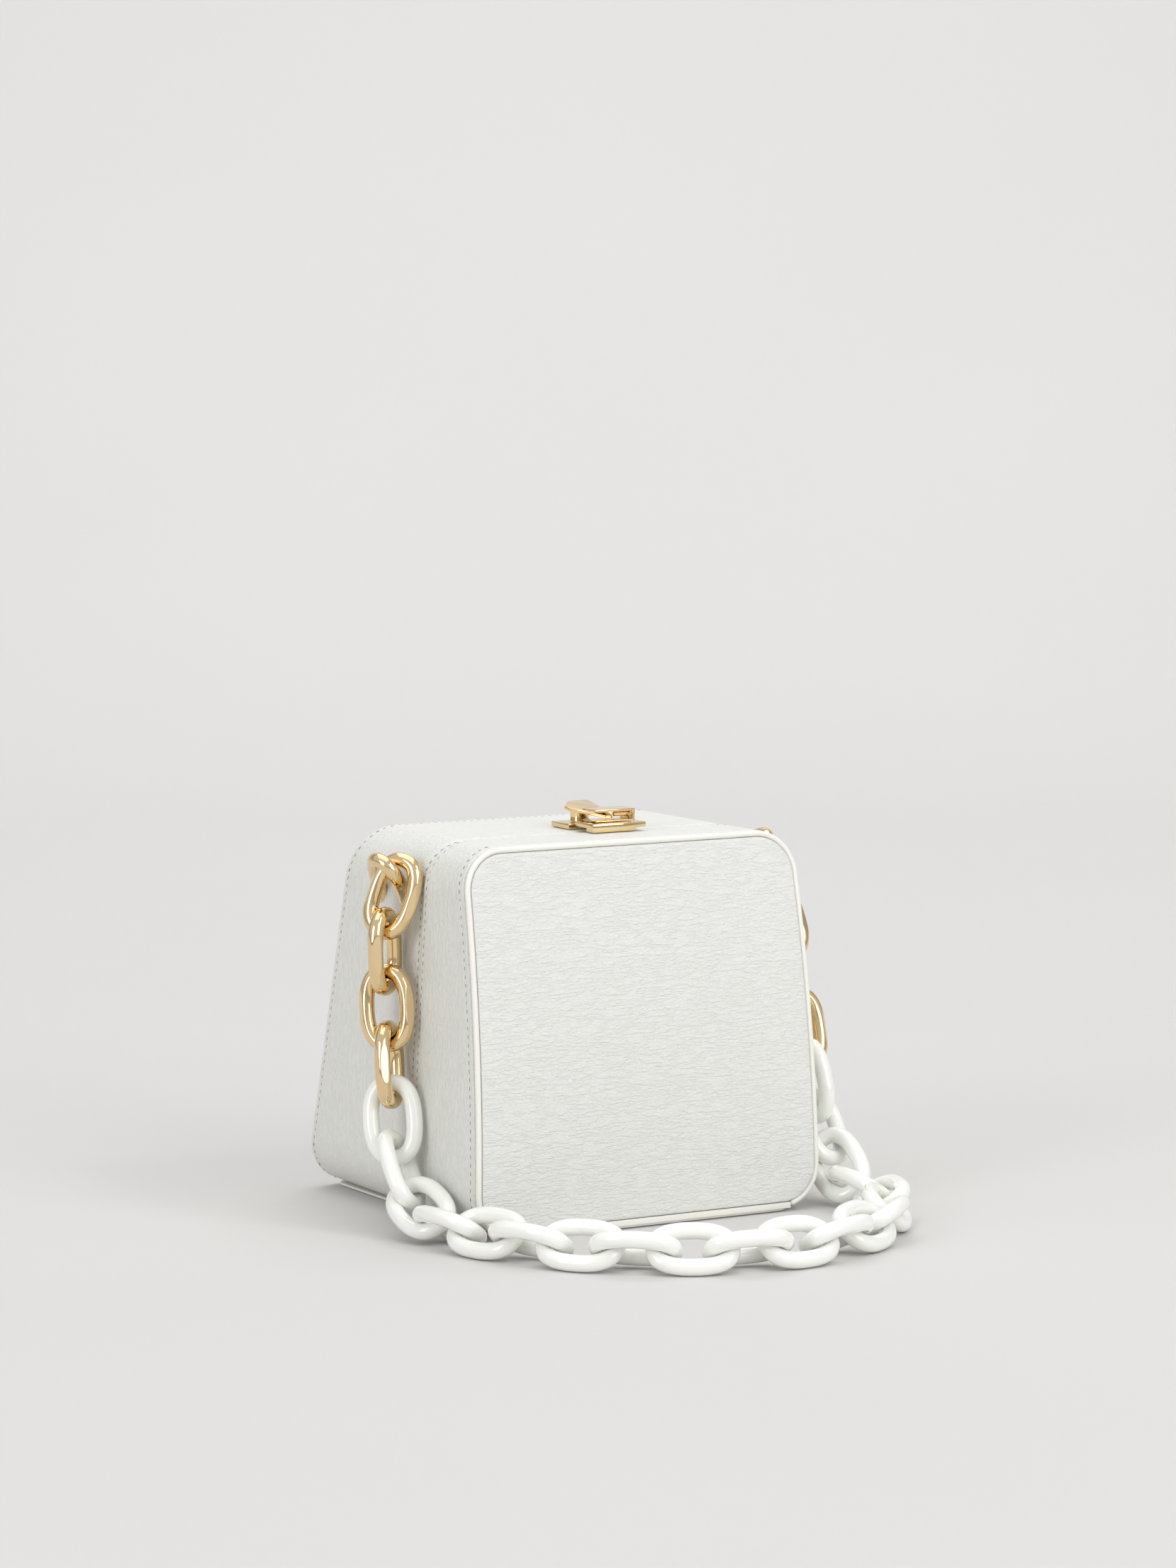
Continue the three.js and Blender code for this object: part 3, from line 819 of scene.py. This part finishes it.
def area_light(name, place, size, power, target):
    """A rectangular lamp that points at its target."""
    light = bpy.data.lights.new(name, "AREA")
    light.shape = "RECTANGLE"
    light.size, light.size_y = size
    light.energy = power
    lamp = add_to_scene(name, light)
    lamp.location = place
    lamp.rotation_euler = (Vector(target) - Vector(place)).to_track_quat("-Z", "Y").to_euler()


def sky():
    """Soft light from all round, dimmer near the horizon."""
    world = bpy.data.worlds.new("studio")
    world.use_nodes = True
    tree = world.node_tree
    background = tree.nodes["Background"]
    background.inputs["Strength"].default_value = SKY_STRENGTH
    direction = tree.nodes.new("ShaderNodeTexCoord").outputs["Generated"]
    split = tree.nodes.new("ShaderNodeSeparateXYZ")
    tree.links.new(direction, split.inputs[0])
    ramp = tree.nodes.new("ShaderNodeMapRange")
    tree.links.new(split.outputs[2], ramp.inputs[0])
    for index, value in enumerate(HORIZON_RAMP):
        ramp.inputs[index + 1].default_value = value
    tint = tree.nodes.new("ShaderNodeMix")
    tint.data_type = "RGBA"
    tree.links.new(ramp.outputs[0], tint.inputs[0])
    tint.inputs[6].default_value = SKY_LOW
    tint.inputs[7].default_value = SKY_HIGH
    tree.links.new(tint.outputs[2], background.inputs["Color"])
    bpy.context.scene.world = world


def camera():
    """The view that the photo was taken from."""
    data = bpy.data.cameras.new("camera")
    data.sensor_fit = "VERTICAL"
    data.sensor_height = CAMERA_SENSOR
    data.lens = CAMERA_LENS
    data.clip_end = CAMERA_REACH
    eye = add_to_scene("camera", data)
    back = -Vector(CAMERA_FORWARD).normalized()
    right = Vector(CAMERA_RIGHT).normalized()
    up = back.cross(right)
    turn = Matrix((right, up, back)).transposed().to_4x4()
    eye.matrix_world = Matrix.Translation(CAMERA_PLACE) @ turn
    bpy.context.scene.camera = eye


def stand_for(piece, body, slot_name, *nodes):
    """Puts a piece on its body, in the place of CAD nodes, which are hidden."""
    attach(piece, body)
    if nodes:
        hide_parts(*nodes)


def build_shells(finish):
    """The two leather halves, with holes for the rings in the back one."""
    stand_for(front_half(finish), "bag", "leather", "front_shell")
    back = back_half(finish)
    clearance = 2 * RING_HOLE_CLEARANCE
    for side in ("left", "right"):
        cut(back, link_object("cutter", "ring_" + side, WALL_RING, finish, False, clearance))
    shade(back.data, SMOOTH_ANGLE)
    stand_for(back, "bag", "leather", "back_shell")


def build_stitches():
    """Four rows of stitches: by the piping, on both sides of the seam, and at the back."""
    # The needle holes get a finish of painted shade
    thread, hole_shade = thread_finish(), hole_shade_finish()
    recessed = STITCH_GROOVE + SEAM_RECESS * RECESS_SHARE_AT_STITCHES
    rows = [
        ("stitches_front", FRONT_RADIUS, STITCH_GROOVE, front_stitch_y),
        ("stitches_seam_front", SEAM_RADIUS, STITCH_GROOVE, seam_stitch_front_y),
        ("stitches_seam_back", SEAM_RADIUS, recessed, seam_stitch_back_y),
        ("stitches_back", BACK_RADIUS, STITCH_GROOVE, back_stitch_y),
    ]
    for name, radius, inset, y_at in rows:
        for piece in stitch_row(name, radius, inset, y_at, thread, hole_shade):
            stand_for(piece, "bag", "leather")


def build_hard(edging, gold):
    """The base and the latch."""
    plate = bevelled("base", "base_plate", BASE_BEVEL, edging)
    stand_for(plate, "bag", "edging", "base_plate")
    for node, width in LATCH_BEVELS.items():
        piece = bevelled(node.replace("latch", "polished"), node, width, gold)
        stand_for(piece, "lever" if node == "latch_lever" else "bag", "gold", node)


def build_chain(gold, enamel):
    """The wall rings and every link of the strap."""
    for node in sorted(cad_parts):
        if node.startswith("ring"):
            piece = link_object("polished_" + node, node, WALL_RING, gold, True)
            stand_for(piece, "bag", "gold", node)
        elif node.startswith("gold_link"):
            piece = link_object("polished_" + node, node, GOLD_LINK, gold, True)
            stand_for(piece, "bag", "gold", node)
        elif node.startswith("enamel_link"):
            piece = link_object("glossy_" + node, node, ENAMEL_LINK, enamel, False)
            stand_for(piece, "bag", "enamel", node)


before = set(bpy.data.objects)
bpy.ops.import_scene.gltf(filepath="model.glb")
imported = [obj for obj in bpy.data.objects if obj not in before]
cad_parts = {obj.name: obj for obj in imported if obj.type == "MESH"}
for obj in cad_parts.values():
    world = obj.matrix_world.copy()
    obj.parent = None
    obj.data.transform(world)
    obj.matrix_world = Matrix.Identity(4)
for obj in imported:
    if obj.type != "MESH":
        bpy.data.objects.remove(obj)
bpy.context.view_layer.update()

edging_material = edging_finish()
gold_material = gold_finish()
build_shells(leather_finish())
stand_for(piping(edging_material), "bag", "edging", "front_piping")
build_stitches()
build_hard(edging_material, gold_material)
build_chain(gold_material, enamel_finish())
studio()
for lamp in LAMPS:
    area_light(*lamp)
sky()
camera()
bpy.context.scene.view_settings.view_transform = "Standard"
